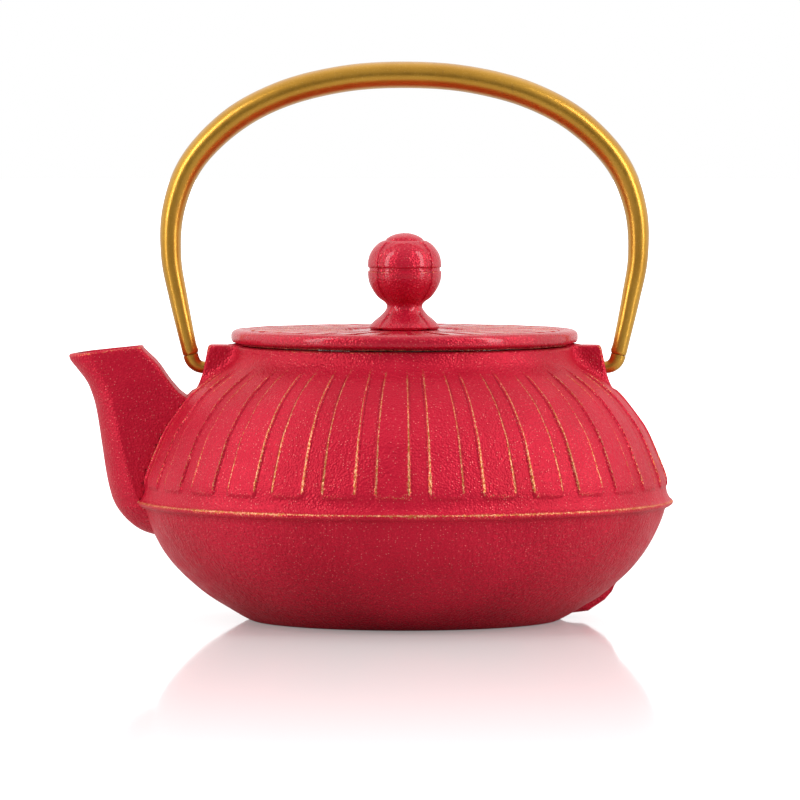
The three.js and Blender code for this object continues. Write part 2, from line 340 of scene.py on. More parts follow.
def round_seam(obj, first, second, box, width, rounds=8):
    """Draws the points near both shapes onto their smooth union, which rounds the seam between them."""
    mesh = obj.data
    points = points_of(mesh)
    start, end = edges_of(mesh)
    low, high = box
    chosen = np.flatnonzero(((points > low - width) & (points < high + width)).all(1))
    first_distance, _ = first(points[chosen])
    second_distance, _ = second(points[chosen])
    chosen = chosen[(np.abs(first_distance) < width) & (np.abs(second_distance) < width)
                    & (np.minimum(first_distance, second_distance) > -0.6)]
    counts = np.maximum(np.bincount(np.concatenate([start, end]), minlength=len(points)), 1)
    for turn in range(rounds):
        if turn:
            totals = np.column_stack([
                np.bincount(np.concatenate([start, end]), points[np.concatenate([end, start]), axis],
                            minlength=len(points)) for axis in range(3)])
            points[chosen] += 0.5 * (totals / counts[:, None] - points)[chosen]
        for _ in range(2):
            a, away_a = first(points[chosen])
            b, away_b = second(points[chosen])
            share = np.clip(0.5 + 0.5 * (b - a) / width, 0, 1)
            value = b + (a - b) * share - width * share * (1 - share)
            slope = away_b + (away_a - away_b) * share[:, None]
            points[chosen] -= (value / np.maximum((slope**2).sum(1), 0.2))[:, None] * slope
    set_points(mesh, points)


# ---- Materials

class Shader:
    """A material whose nodes are added and linked in one call each."""

    def __init__(self, name, colour, metallic=0.0, roughness=0.5, **sockets):
        self.material = bpy.data.materials.new(name)
        self.material.use_nodes = True
        self.nodes = self.material.node_tree.nodes
        self.links = self.material.node_tree.links
        self.bsdf = self.nodes["Principled BSDF"]
        self.bsdf.inputs["Base Color"].default_value = (*colour, 1)
        self.bsdf.inputs["Metallic"].default_value = metallic
        self.bsdf.inputs["Roughness"].default_value = roughness
        for socket, value in sockets.items():
            self.bsdf.inputs[socket.replace("_", " ")].default_value = value
        self.place = self.add("ShaderNodeTexCoord").outputs["Object"]
        self.material.diffuse_color = (*colour, 1)

    def add(self, kind, inputs=(), **settings):
        node = self.nodes.new(kind)
        for name, value in settings.items():
            setattr(node, name, value)
        for socket, value in dict(inputs).items():
            if isinstance(value, bpy.types.NodeSocket):
                self.links.new(value, node.inputs[socket])
            else:
                node.inputs[socket].default_value = value
        return node

    def stretched(self, scale):
        return self.add("ShaderNodeMapping", {"Vector": self.place, "Scale": scale}).outputs["Vector"]

    def noise(self, scale, detail=2.0, vector=None, rough=0.5):
        node = self.add("ShaderNodeTexNoise", {"Vector": vector or self.place, "Scale": scale,
                                               "Detail": detail, "Roughness": rough})
        return node.outputs["Fac"]

    def ramp(self, value, low, high, start=0.0, end=1.0):
        inputs = {"Value": value, "From Min": low, "From Max": high, "To Min": start, "To Max": end}
        node = self.add("ShaderNodeMapRange", inputs, interpolation_type="SMOOTHSTEP")
        return node.outputs["Result"]

    def math(self, operation, first, second):
        return self.add("ShaderNodeMath", {0: first, 1: second}, operation=operation).outputs[0]

    def mix(self, amount, first, second):
        node = self.add("ShaderNodeMix", data_type="RGBA")
        colours = (node.inputs[6], node.inputs[7])
        for socket, value in zip((node.inputs[0], *colours), (amount, first, second)):
            if isinstance(value, bpy.types.NodeSocket):
                self.links.new(value, socket)
            else:
                socket.default_value = (*value, 1) if isinstance(value, tuple) else value
        return node.outputs[2]

    def attribute(self, name):
        return self.add("ShaderNodeAttribute", attribute_name=name).outputs["Fac"]

    def set(self, socket, value):
        self.links.new(value, self.bsdf.inputs[socket])

    def bumps(self, *layers):
        """Each layer is a height and how many metres its full range stands for."""
        normal = None
        for height, distance in layers:
            inputs = {"Height": height, "Distance": distance, "Strength": 1.0}
            if normal:
                inputs["Normal"] = normal
            normal = self.add("ShaderNodeBump", inputs).outputs["Normal"]
        self.set("Normal", normal)


def red_paint(name, gloss):
    """Red paint on a casting, rubbed to gold at the edges, with painted shade darkening its hollows. gloss
    is 0 for satin and 1 for glossy.
    """
    shade = Shader(name, (0.45, 0.006, 0.028), Specular_IOR_Level=0.4,
                   Specular_Tint=(1, 0.35, 0.3, 1), Coat_Weight=0.4 * gloss, Coat_Roughness=0.1)
    wear, hollow = shade.attribute("wear"), shade.attribute("hollow")
    drift = shade.ramp(shade.noise(30, 3), 0.3, 0.7)
    red = shade.mix(drift, (0.45, 0.005, 0.026), (0.55, 0.01, 0.037))
    cells = shade.add("ShaderNodeTexVoronoi", {"Vector": shade.place, "Scale": 1500})
    grains = cells.outputs["Distance"]
    red = shade.mix(shade.ramp(grains, 0.1, 0.45, 0.16, 0), red, (0.85, 0.08, 0.1))
    # Painted shade: hollows such as the feet of the tabs, the knob's grooves and the seams are darkened
    # towards a deep red, standing in for the shade that falls there.
    painted_hollow_shade = shade.ramp(hollow, 0, 0.8, 0, lerp(0.75, 0.6, gloss))
    red = shade.mix(painted_hollow_shade, red, (0.13, 0.002, 0.008))
    speckle = shade.ramp(shade.noise(2300, 2), 0.3, 0.7, -0.3, 0.3)
    patches = shade.ramp(shade.noise(70, 2), 0.3, 0.7, -0.14, 0.1)
    uneven = shade.math("ADD", shade.math("ADD", wear, speckle), patches)
    rubbed = shade.ramp(uneven, 0.3, 0.75, 0, 0.9)
    tint = shade.mix(shade.ramp(shade.noise(1300, 2), 0.4, 0.6), (0.45, 0.17, 0.04), (0.78, 0.37, 0.19))
    by_cell = shade.add("ShaderNodeSeparateColor", {0: cells.outputs["Color"]}).outputs[0]
    chosen = shade.ramp(by_cell, 0.72, 0.78)
    flecks = shade.math("MULTIPLY", chosen, shade.ramp(grains, 0.14, 0.3, 0.6, 0))
    coated = shade.mix(rubbed, red, tint)
    shade.set("Base Color", shade.mix(flecks, coated, (0.9, 0.27, 0.24)))
    bright = shade.math("MAXIMUM", rubbed, flecks)
    shade.set("Metallic", shade.ramp(bright, 0, 1, 0.3, 0.8))
    rough = shade.ramp(shade.noise(240, 3), 0.3, 0.7, lerp(0.34, 0.24, gloss), lerp(0.46, 0.32, gloss))
    shade.set("Roughness", shade.math("MULTIPLY", rough, shade.ramp(flecks, 0, 1, 1, 0.6)))
    height = shade.add("ShaderNodeSeparateXYZ", {0: shade.place}).outputs["Z"]
    on_bowl = shade.ramp(height, (BELT_HEIGHT - 2) * MM, BELT_HEIGHT * MM, 1, 0)
    streaks = shade.math("MULTIPLY", on_bowl, shade.noise(1, 2, shade.stretched((800, 800, 300))))
    shade.bumps((streaks, 0.0006), (shade.noise(420, 2), 0.00011), (grains, -0.0002))
    return shade.material


def black_enamel():
    shade = Shader("black_enamel", (0.012, 0.012, 0.013), Coat_Weight=0.4, Coat_Roughness=0.2)
    specks = shade.ramp(shade.noise(900, 2), 0.62, 0.75)
    shade.set("Base Color", shade.mix(specks, (0.01, 0.01, 0.011), (0.05, 0.05, 0.052)))
    shade.set("Roughness", shade.ramp(shade.noise(300, 2), 0.3, 0.7, 0.3, 0.5))
    shade.bumps((shade.noise(260, 3), 0.0003))
    return shade.material


def gold_paint():
    shade = Shader("gold_paint", (0.5, 0.25, 0.022), Coat_Weight=0.25, Coat_Roughness=0.22)
    flakes = shade.noise(2200, 2)
    drift = shade.ramp(shade.noise(30, 3), 0.35, 0.65)
    gold = shade.mix(drift, (0.47, 0.23, 0.02), (0.54, 0.28, 0.03))
    gold = shade.mix(shade.ramp(flakes, 0.55, 0.75, 0, 0.35), gold, (0.72, 0.42, 0.09))
    scuffs = shade.ramp(shade.noise(1, 2, shade.stretched((500, 500, 90))), 0.68, 0.76, 0, 0.35)
    shade.set("Base Color", shade.mix(scuffs, gold, (0.3, 0.13, 0.02)))
    shade.set("Metallic", shade.ramp(scuffs, 0, 1, 0.88, 0.6))
    shade.set("Roughness", shade.ramp(shade.noise(420, 3), 0.3, 0.7, 0.29, 0.37))
    shade.bumps((shade.noise(520, 2), 0.00003), (flakes, 0.00003))
    return shade.material


def steel(name, colour, low, high, brushing):
    """Steel with fine scratches that run across the stretched axes."""
    shade = Shader(name, colour, metallic=1.0)
    lines = shade.noise(1, 3, shade.stretched(brushing))
    stains = shade.ramp(shade.noise(90, 3), 0.4, 0.7)
    shade.set("Base Color", shade.mix(stains, colour, tuple(0.82 * part for part in colour)))
    shade.set("Roughness", shade.ramp(lines, 0.3, 0.7, low, high))
    shade.bumps((lines, 0.00002))
    return shade.material


def perforated(name, colour, flat):
    """Steel sheet with rows of fine round holes, not cut but painted near-black as painted shade seen
    through them. flat is True for a level sheet and False for a sheet that stands round the Z axis."""
    shade = Shader(name, colour, metallic=1.0, roughness=0.3)
    split = shade.add("ShaderNodeSeparateXYZ", {0: shade.place})
    x, y, z = (split.outputs[axis] for axis in "XYZ")
    if flat:
        across, up = (shade.math("MULTIPLY", axis, 1 / (HOLE_PITCH * MM)) for axis in (x, y))
    else:
        around = round(2 * math.pi * INFUSER_RADIUS / HOLE_PITCH)
        across = shade.math("MULTIPLY", shade.math("ARCTAN2", y, x), around / (2 * math.pi))
        up = shade.math("MULTIPLY", z, 1 / (HOLE_PITCH * MM))
    sides = [shade.math("SUBTRACT", shade.math("FRACT", axis, 0.0), 0.5) for axis in (across, up)]
    square = shade.math("ADD", *(shade.math("MULTIPLY", side, side) for side in sides))
    hole = shade.ramp(square, 0.07, 0.09, 1, 0)
    stains = shade.ramp(shade.noise(90, 3), 0.4, 0.7)
    sheet = shade.mix(stains, colour, tuple(0.8 * part for part in colour))
    # Painted shade: each hole is a near-black, non-metallic dot in place of an opening and the dark seen
    # through it.
    shade.set("Base Color", shade.mix(hole, sheet, (0.01, 0.01, 0.01)))
    shade.set("Metallic", shade.ramp(hole, 0, 1, 1, 0))
    shade.set("Roughness", shade.ramp(shade.noise(400, 3), 0.3, 0.7, 0.24, 0.38))
    shade.bumps((shade.noise(700, 2), 0.00003), (hole, -0.0002))
    return shade.material


# ---- Pot body

def pot_profile():
    """The outside from the middle of the base up to the collar's top edge."""
    belt_from, belt_to = BELT_HEIGHT - 3.2, BELT_HEIGHT + 4
    bowl = curve_through([(48.2, 0.6), (50.9, 2.1), (54.2, 4.1), (59.9, 7.6), (64.3, 11.1), (68.2, 14.7),
                          (71.5, 18.4), (74.1, 22), (77, 27.4), (78.6, 31.2), (79.2, belt_from)])
    belt = curve_through([(79.2, belt_from), (79.55, BELT_HEIGHT - 2.1), (80.3, BELT_HEIGHT - 1.4),
                          (81.3, BELT_HEIGHT - 0.95), (81.8, BELT_HEIGHT - 0.5),
                          (BELT_RADIUS, BELT_HEIGHT), (81.75, BELT_HEIGHT + 0.5),
                          (81.2, BELT_HEIGHT + 0.95), (80.65, BELT_HEIGHT + 1.7),
                          (80.2, BELT_HEIGHT + 2.8), (79.95, belt_to)])
    dome = curve_through([(79.95, belt_to), (79.5, 43.8), (78.2, 47.4), (76.7, 51.1), (73.4, 58.4),
                          (70.9, 62.1), (66.6, 67.6), (62.7, 71.2), (57.2, 75.3), (54.2, 77.4),
                          (52.2, 79.4), (51.3, 81.3), (51.1, 82.7)])
    edge = curve_through([(51.1, 82.7), (50.9, 83.3), (50.3, COLLAR_TOP)])
    base = [(0, 0), (BASE_RADIUS - 1, 0), (BASE_RADIUS, 0.12)]
    return np.vstack([base, bowl, belt[1:], dome[1:], edge[1:]])


def pot_step(radius, height):
    """The distance between rows of points, which is short round the belt and the tabs' lower ends."""
    if height < 0.5:
        return 9 if radius < BASE_RADIUS - 9 else 1
    if height < BELT_HEIGHT - 3.4:
        return 1.6
    if height < BELT_HEIGHT + 2.6:
        return 0.3
    if height < TAB_BOTTOM + 2.6:
        return 0.28
    if height < 74:
        return 1.6
    return 0.8 if height < 82 else 0.4


def tab_angles():
    """Angles round the pot, close together at both edges of each tab."""
    edge = math.degrees(TAB_HALF)
    half = [0.0, 1.7, *(edge + past for past in (-1.2, -0.8, -0.6, -0.42, -0.22, 0, 0.25, 0.9))]
    offsets = sorted({-offset for offset in half} | set(half))
    period = 360 / TAB_COUNT
    return np.array([TAB_TURN + math.radians(period * tab + offset)
                     for tab in range(TAB_COUNT) for offset in offsets])


def tab_field(angles, radius):
    """Distance from each angle to the middle of its tab, in millimetres round the pot."""
    period = 2 * math.pi / TAB_COUNT
    turn = (angles - TAB_TURN + period / 2) % period - period / 2
    return radius * np.abs(turn)


def inside_corner(side, below, corner):
    """How far inside a rounded corner each place is. side and below are measured outward from the
    corner's centre."""
    beyond = np.hypot(np.maximum(side, 0), np.maximum(below, 0))
    return corner - beyond - np.minimum(np.maximum(side, below), 0)


def tab_depth(angles, radius, height, line):
    """How far inside a tab's outline each place on the dome is, in millimetres, and how much of the tab
    is left there, because the tabs fade out below the collar."""
    lengths = lengths_along(line)
    dome = line[:, 1] > BELT_HEIGHT + 2
    above = (np.interp(height, line[dome, 1], lengths[dome])
             - np.interp(TAB_BOTTOM, line[dome, 1], lengths[dome]))
    side = tab_field(angles, radius) - (TAB_HALF * radius - TAB_CORNER)
    below = TAB_CORNER - 0.55 * above
    return inside_corner(side, below, TAB_CORNER), 1 - smooth(height, *TAB_FADE)


def rim_width(height):
    """Half the width of the rubbed rim of a tab, which is widest at its lower end."""
    return 0.17 + 0.25 * (1 - smooth(height, 42, 66))


def at_lower_end(height):
    """1 along the sides of a tab and less along its lower end."""
    return 0.25 + 0.75 * smooth(height, TAB_BOTTOM + 1.5, TAB_BOTTOM + 3)


def pot_relief(line):
    """The relief of the raised tabs, for turned()."""
    def relief(angles, radius, height):
        if not TAB_BOTTOM - 0.5 <= height <= TAB_FADE[1] + 0.5:
            return 0 * angles
        depth, left = tab_depth(angles, radius, height, line)
        bead = np.exp(-((depth - 0.62) / rim_width(height)) ** 2) * at_lower_end(height)
        return left * (TAB_RELIEF * smooth(depth, 0, TAB_SLOPE) + TAB_BEAD * bead)

    return relief


def rub_edges(body, line):
    """Adds the rubbed edges of the tabs and the belt to the wear that mark_edges has stored, with the rub
    on the dome cut by up to half at the left and right sides, where the side lamps fall, so the colour
    there follows the light: painted light, not wear.
    """
    points = points_of(body.data)
    radius, height = np.hypot(points[:, 0], points[:, 1]), points[:, 2]
    angles = np.arctan2(points[:, 1], points[:, 0])
    depth, left = tab_depth(angles, radius, height, line)
    dome = line[:, 1] > BELT_HEIGHT + 2
    off_dome = np.abs(radius - np.interp(height, line[dome, 1], line[dome, 0]))
    on_dome = (height > TAB_BOTTOM - 0.5) & (height < TAB_FADE[1]) & (off_dome < 0.9)
    # Painted light: the rub is cut by up to half at the left and right sides, seen from the front, so the
    # lines there read pink under the side lamps rather than gold.
    rub_cut_at_lit_sides = 1 - 0.5 * smooth(np.abs(np.cos(angles)), 0.45, 0.9)
    rim = np.exp(-((depth - TAB_RIM) / rim_width(height)) ** 2)
    tabs = rim * np.sqrt(left) * at_lower_end(height) * rub_cut_at_lit_sides * on_dome
    on_belt = np.abs(radius - BELT_RADIUS) < 0.9
    belt = 0.8 * np.exp(-((height - BELT_HEIGHT - 0.4) / 0.33) ** 2) * on_belt
    data = body.data.attributes["wear"].data
    wear = np.empty(len(points), np.float32)
    data.foreach_get("value", wear)
    kept = np.where(on_dome, 0.5 * rub_cut_at_lit_sides * at_lower_end(height), 0.8)
    data.foreach_set("value", np.maximum(kept * wear, np.maximum(tabs, belt)).astype(np.float32))


def spout_ring(height, tip, back, half, nose, lift=0.0, inset=0.0, bow=66):
    """A level ring of the spout: a bowed nose between two soft ridges, flat sides and a rounded back.
    The nose turns through bow degrees on each side, so the ridges fade out as bow nears 90."""
    tip, back, half = tip + inset, back - inset, half - inset
    bow = math.radians(bow)
    turns = np.linspace(bow, -bow, 21)
    nose_line = np.column_stack([tip + nose * (1 - np.cos(turns)) / (1 - math.cos(bow)),
                                 half * np.sin(turns) / math.sin(bow)])
    corner = min(1.7, half / 2)
    side = np.linspace(0, 1, 13)[1:]
    side_x = np.concatenate([[tip + nose + 0.35], lerp(tip + nose + 0.35, back - corner, side)])
    side_y = half * np.concatenate([[1], lerp(1, 0.94, side)])
    bend = np.linspace(0, math.pi / 2, 6)[1:]
    corner_x = back - corner + corner * np.sin(bend)
    corner_y = half * 0.94 - corner * (1 - np.cos(bend))
    lower = np.column_stack([np.concatenate([side_x, corner_x]), -np.concatenate([side_y, corner_y])])
    upper = lower[::-1] * (1, -1)
    flat = np.vstack([nose_line, lower, upper])
    heights = height + lift * (flat[:, 0] - tip) / (back - tip)
    return np.column_stack([flat, heights])


SPOUT_LIFT = 2.4  # the mouth's back edge above its tip
MOUTH = (80.5, -102.4, -79.8, 10, 7.4)  # the last level: height, tip, back, half width, nose length


def lifted(height):
    return SPOUT_LIFT * float(smooth(height, 72, 81))


def spout_outside():
    levels = curve_through([
        (25, -73, -58, 5, 6.5), (27.3, -80.4, -58, 8.4, 8.6), (31, -85.2, -58, 11, 9),
        (35.5, -88.5, -58, 12.6, 8.6), (41, -90.3, -58, 13.2, 7.8), (54.7, -92.6, -58, 12.4, 6.6),
        (64, -94, -60, 11.4, 6),
        (69.4, -95.6, -68.1, 10.8, 6.2), (73, -97.2, -71.5, 10.5, 6.6), (76.7, -99.9, -74.9, 10.2, 7),
        (79.4, -102, -78.5, 10, 7.3), MOUTH], 40)
    levels = spaced(levels, lambda *level: 1.1)
    rings = []
    for level in levels:
        bow = lerp(66, 86, smooth(level[0], 58, 76))
        rings.append(spout_ring(*level, lift=lifted(level[0]), bow=bow))
    for rise, inset in ((0.3, 0.08), (0.55, 0.28), (0.7, 0.6)):
        rings.append(spout_ring(MOUTH[0] + rise, *MOUTH[1:], SPOUT_LIFT, inset, 86))
    return rings


def spout_bore():
    levels = curve_through([
        (32.5, -82.6, -64, 7.6, 4), (36, -85.4, -64, 9.2, 3.6), (41, -87.4, -64, 10, 3.6),
        (54.7, -89.7, -64, 9.4, 3.6), (57, -90, -66, 9.2, 3.6), (60.5, -90.4, -72, 9, 3.6),
        (64, -91.1, -73.6, 8.6, 3.6), (69.4, -92.7, -73.4, 8.1, 3.6), (73, -94.5, -75.4, 7.9, 3.6),
        (76.7, -97.2, -78.4, 7.8, 3.6), (79.5, -99.2, -80.9, 7.9, 3.8)], 30)
    levels = spaced(levels, lambda *level: 1.3)
    rings = [spout_ring(*level, lift=lifted(level[0])) for level in levels]
    for rise, spread in ((0.9, 0.1), (1.3, 0.35), (1.7, 0.9), (4, 1.2)):
        rings.append(spout_ring(79.5 + rise, -99.6, -81.5, 7.9, 3.8, SPOUT_LIFT, -spread))
    return rings


def lug_rings(side):
    """The right lug for side 1, or the left lug for side -1."""
    outer = curve_through([(66, 60.4), (68, 61), (72.4, 62.0), (PIVOT_HEIGHT, 61.2), (81.5, 60.3),
                           (COLLAR_TOP, 59.9)], 10)
    inner, corner = 46.6, 0.9
    rings = []
    heights = np.linspace(66, 83.1, 24)
    for height, inset in [*((h, 0) for h in heights), (83.5, 0.12), (83.75, 0.35), (83.85, 0.75)]:
        face = np.interp(height, *outer.T) - inset
        half = LUG_HALF_WIDTH - inset
        turns = np.linspace(-math.pi / 2, 0, 6)
        round_x = face - corner + corner * np.cos(turns)
        round_y = half - corner - corner * np.sin(turns)
        across = np.linspace(1, -1, 11)[1:-1] * (half - corner)
        front = np.column_stack([np.concatenate([round_x, np.full(9, face), round_x[::-1]]),
                                 np.concatenate([round_y, across, -round_y[::-1]])])
        depth = np.linspace(face - corner, inner, 14)[1:]
        lower = np.column_stack([depth, np.full(13, -half)])
        ring = np.vstack([front, lower, lower[::-1] * (1, -1)])
        rings.append(np.column_stack([side * ring[:, 0], side * ring[:, 1], np.full(len(ring), height)]))
    return rings


def gate_stub():
    """The ground stub of the casting gate, low on the bowl behind the right side."""
    turn = math.radians(8)
    outline = [(48, 2.3), (56, 2.3), (61.2, 5.6), (63.5, 8.2), (64.8, 11.6), (55, 9)]
    middle = np.mean(outline, axis=0)
    rings = []
    for y in (-6, -5.7, -5, -2, 0, 2, 5, 5.7, 6):
        inset = {6: 0.9, 5.7: 0.35}.get(abs(y), 0)
        ring = []
        for x, z in outline:
            shrink = 1 - inset / np.hypot(x - middle[0], z - middle[1])
            x, z = lerp(middle[0], x, shrink), lerp(middle[1], z, shrink)
            ring.append((x * math.cos(turn) - y * math.sin(turn),
                         x * math.sin(turn) + y * math.cos(turn), z))
        rings.append(np.array(ring))
    return rings


def lug_hole(side):
    """A blind hole with a worn, widened mouth."""
    turns = np.linspace(0, 2 * math.pi, 40, endpoint=False)
    rings = []
    for x, wider in ((LUG_HOLE_END, -0.5), (LUG_HOLE_END + 0.5, 0), (60.2, 0), (61.0, 0.15), (61.6, 0.7),
                     (66, 1.5)):
        radius = LUG_HOLE_RADIUS + wider
        rings.append(np.column_stack([np.full(len(turns), side * x), radius * np.cos(turns),
                                      PIVOT_HEIGHT + radius * np.sin(turns)]))
    return rings


def pot_cavity():
    """The inside from the edge of its floor up to the mouth."""
    return curve_through([(44, CAVITY_FLOOR), (52.4, 7.2), (62, 13.8), (68.7, 20.6), (73.8, 29), (76, 37),
                          (74.9, 46), (72.1, 52.9), (68.1, 59.9), (64.1, 65), (60.4, 68.4), (52, 73),
                          (46.9, 76.2), (45.5, 78.5), (45.5, 82.8)], 6)


def make_pot(red, black):
    """The pot casting: turned body, spout and lugs joined, then the inside, the bore and the holes cut."""
    line = pot_profile()
    rows = spaced(line, pot_step)
    angles = tab_angles()
    vertices, faces = turned([*rows, (30, COLLAR_TOP), (0, COLLAR_TOP)], angles, pot_relief(line))
    coats = [red, black]
    body = piece("pot", vertices, faces, coats)
    finish_faces(body)
    spout = piece("spout", *capped(spout_outside()), coats)
    lugs = [piece("lug", *capped(lug_rings(side)), coats) for side in (1, -1)]
    stub = piece("stub", *capped(gate_stub()), coats)
    for part in (spout, *lugs, stub):
        finish_faces(part)
    seams = [(field_of_object(part), (points_of(part.data).min(0), points_of(part.data).max(0)), width)
             for part, width in ((lugs[0], LUG_SEAM), (lugs[1], LUG_SEAM), (stub, STUB_SEAM))]
    combined(body, [spout, *lugs, stub], "UNION")
    outside = field_of_profile(spaced(line, lambda *place: 0.15))
    for field, box, width in seams:
        round_seam(body, outside, field, box, width)
    mouth = [(45.8, 83.4), (46.6, 84.2), (46.6, 88), (0, 88)]
    cavity = np.vstack([[(0, CAVITY_FLOOR), (22, CAVITY_FLOOR)], pot_cavity(), mouth])
    steps = np.linspace(0, 2 * math.pi, 144, endpoint=False)
    hollow = piece("hollow", *turned(cavity, steps), coats)
    bore = piece("bore", *capped(spout_bore()), coats)
    holes = [piece("hole", *capped(lug_hole(side)), coats) for side in (1, -1)]
    for part, top in ((hollow, COLLAR_TOP - 0.6), (bore, 78)):
        inside = [int(face.center.z < top * MM) for face in part.data.polygons]
        part.data.polygons.foreach_set("material_index", np.array(inside, np.int32))
    for part in (hollow, bore, *holes):
        finish_faces(part)
    combined(body, [hollow, bore, *holes], "DIFFERENCE")
    finish_faces(body, 38)
    roughen(body, 0.12, 9, lambda points: smooth(points[:, 2], 0.2, 2))
    mark_edges(body)
    rub_edges(body, line)
    return body


# ---- Lid and knob

def make_lid(red):
    """The lid, with a ring that centres it in the infuser and a low lip that hides the infuser's rim."""
    boss = [(2.4, 83.7), (2.6, 83.6), (8.6, 83.6), (9.4, 83.8), (10.4, 84.5), (12, LID_UNDERSIDE)]
    locating_ring = [(36.4, LID_UNDERSIDE), (37.3, 84.2), (37.6, 83.4), (38.0, 79.5), (38.4, 79.05),
                     (39.7, 79.0), (40.4, 79.4), (40.6, 80.2), (40.6, 83.8), (40.9, 84.4),
                     (41.6, LID_UNDERSIDE)]
    lip = [(48.6, LID_UNDERSIDE), (48.75, 84.4), (48.8, 84.05), (48.95, 83.9), (49.6, 83.9), (49.8, 84.05),
           (49.85, 84.4), (50.1, LID_UNDERSIDE)]
    edge = [(51.6, 84.62), (52.4, 84.85), (52.8, 85.35), (LID_RADIUS, 86), (LID_RADIUS, 87), (52.75, 87.6),
            (52.35, 88.1), (51.8, 88.42), (51.2, 88.62), (50.5, 88.62), (49.9, 88.45), (49.4, 88.2)]
    tabs_out = (48.9, 48.4, 47.9, 47.55, 47.2, 46.85, 46.5, 46.15, 45.8, 45.2)
    tabs_in = (20.6, 20.1, 19.7, 19.3, 18.9, 18.5, 18.1, 17.5)
    top = [(radius, LID_TOP - 0.35) for radius in (*tabs_out, *np.linspace(43.5, 21.5, 14), *tabs_in)]
    top += [(16.2, 88.2), (14.8, 88.4), (13.2, LID_TOP), (8, LID_TOP), (2.6, LID_TOP), (2.4, 88.4)]

    def relief(angles, radius, height):
        if height < 88.1 or not 16.5 < radius < 49.2:
            return 0 * angles
        across = tab_field(angles, radius)
        ends = np.minimum(47.6 - radius, radius - 17.9)
        corner = 0.9
        depth = inside_corner(across - (TAB_HALF * radius - corner), corner - ends, corner)
        return 0.5 * smooth(depth, 0, 0.6)

    rows = np.array([*boss, (24, LID_UNDERSIDE), *locating_ring, *lip, *edge, *top])
    lid = piece("lid_cast", *turned_ring(rows, tab_angles(), relief), [red])
    finish_faces(lid, 50)
    roughen(lid, 0.1, 7)
    mark_edges(lid, 0.3, 1.5)
    return lid


def make_knob(red):
    """A ball with four raised panels above and below a band, a cap on top and a creased foot."""
    lower = curve_through([(10.5, 89.0), (10.65, 89.4), (10.2, 90.0), (9.3, 91.0), (7.9, 92.2), (6.6, 93.4),
                           (5.7, 94.6), (5.4, 95.5), (5.6, 96.4), (6.2, 97.1), (8.0, 98.5), (9.7, 100.7),
                           (10.8, 103.2), (11.15, 105.2), (11.15, 106.3)], 8)
    upper = curve_through([(11.15, 107.8), (11.1, 109.2), (10.6, 111.3), (9.7, 113.0), (8.2, 114.6),
                           (7.1, 115.4), (6.4, 115.75), (6.05, 115.6), (5.8, 115.75), (5.6, 116.15),
                           (4.7, 116.85), (3.4, 117.45), (1.8, 117.9), (0, 118.1)], 8)
    band = [(11.0, 106.4), (10.72, 106.55), (10.68, 107), (10.72, 107.45), (11.0, 107.6)]
    start = [(0, 101), (2.3, 101), (2.3, KNOB_BOTTOM), (9.9, KNOB_BOTTOM), (10.3, KNOB_BOTTOM + 0.2)]
    lower, upper = (spaced(half, lambda *place: 0.45) for half in (lower, upper))
    rows = np.vstack([start, lower, band, upper])
    quarter = math.pi / 2

    def relief(angles, radius, height):
        if radius < 2.5:
            return 0 * angles
        across = radius * np.abs((angles + quarter) % quarter - quarter / 2)
        on_ball = smooth(height, 96.6, 98.6) * (1 - smooth(height, 114.9, 115.5))
        groove = -0.4 * (1 - smooth(across, 0.75, 1.15)) + 0.1 * np.cos(4 * angles)
        on_foot = 1 - smooth(height, 93.5, 95.5)
        petal = -0.3 * (1 - smooth(across, 0.1, 0.9)) + 0.12 * np.cos(4 * angles)
        return groove * on_ball + petal * on_foot

    steps = np.unique(np.concatenate([
        k * quarter + np.concatenate([np.linspace(0, quarter, 34, endpoint=False),
                                      quarter / 2 + np.linspace(-0.2, 0.2, 19)])
        for k in range(4)]).round(5))
    knob = piece("knob_cast", *turned(rows, steps, relief), [red])
    finish_faces(knob, 50)
    roughen(knob, 0.08, 4)
    mark_edges(knob, 0.9, 3)
    return knob


# ---- Handle

def arch_line():
    """The middle of the tube, from its left end to its right end."""
    half = [(19.5, 164.8), (38, 160), (53.1, 151.7), (65.2, 138.9), (70.5, 125), (71.2, 111), (69, 98),
            (65.3, 80.9)]
    return curve_through([*((-x, z) for x, z in reversed(half)), (0, 166.2), *half], 60)


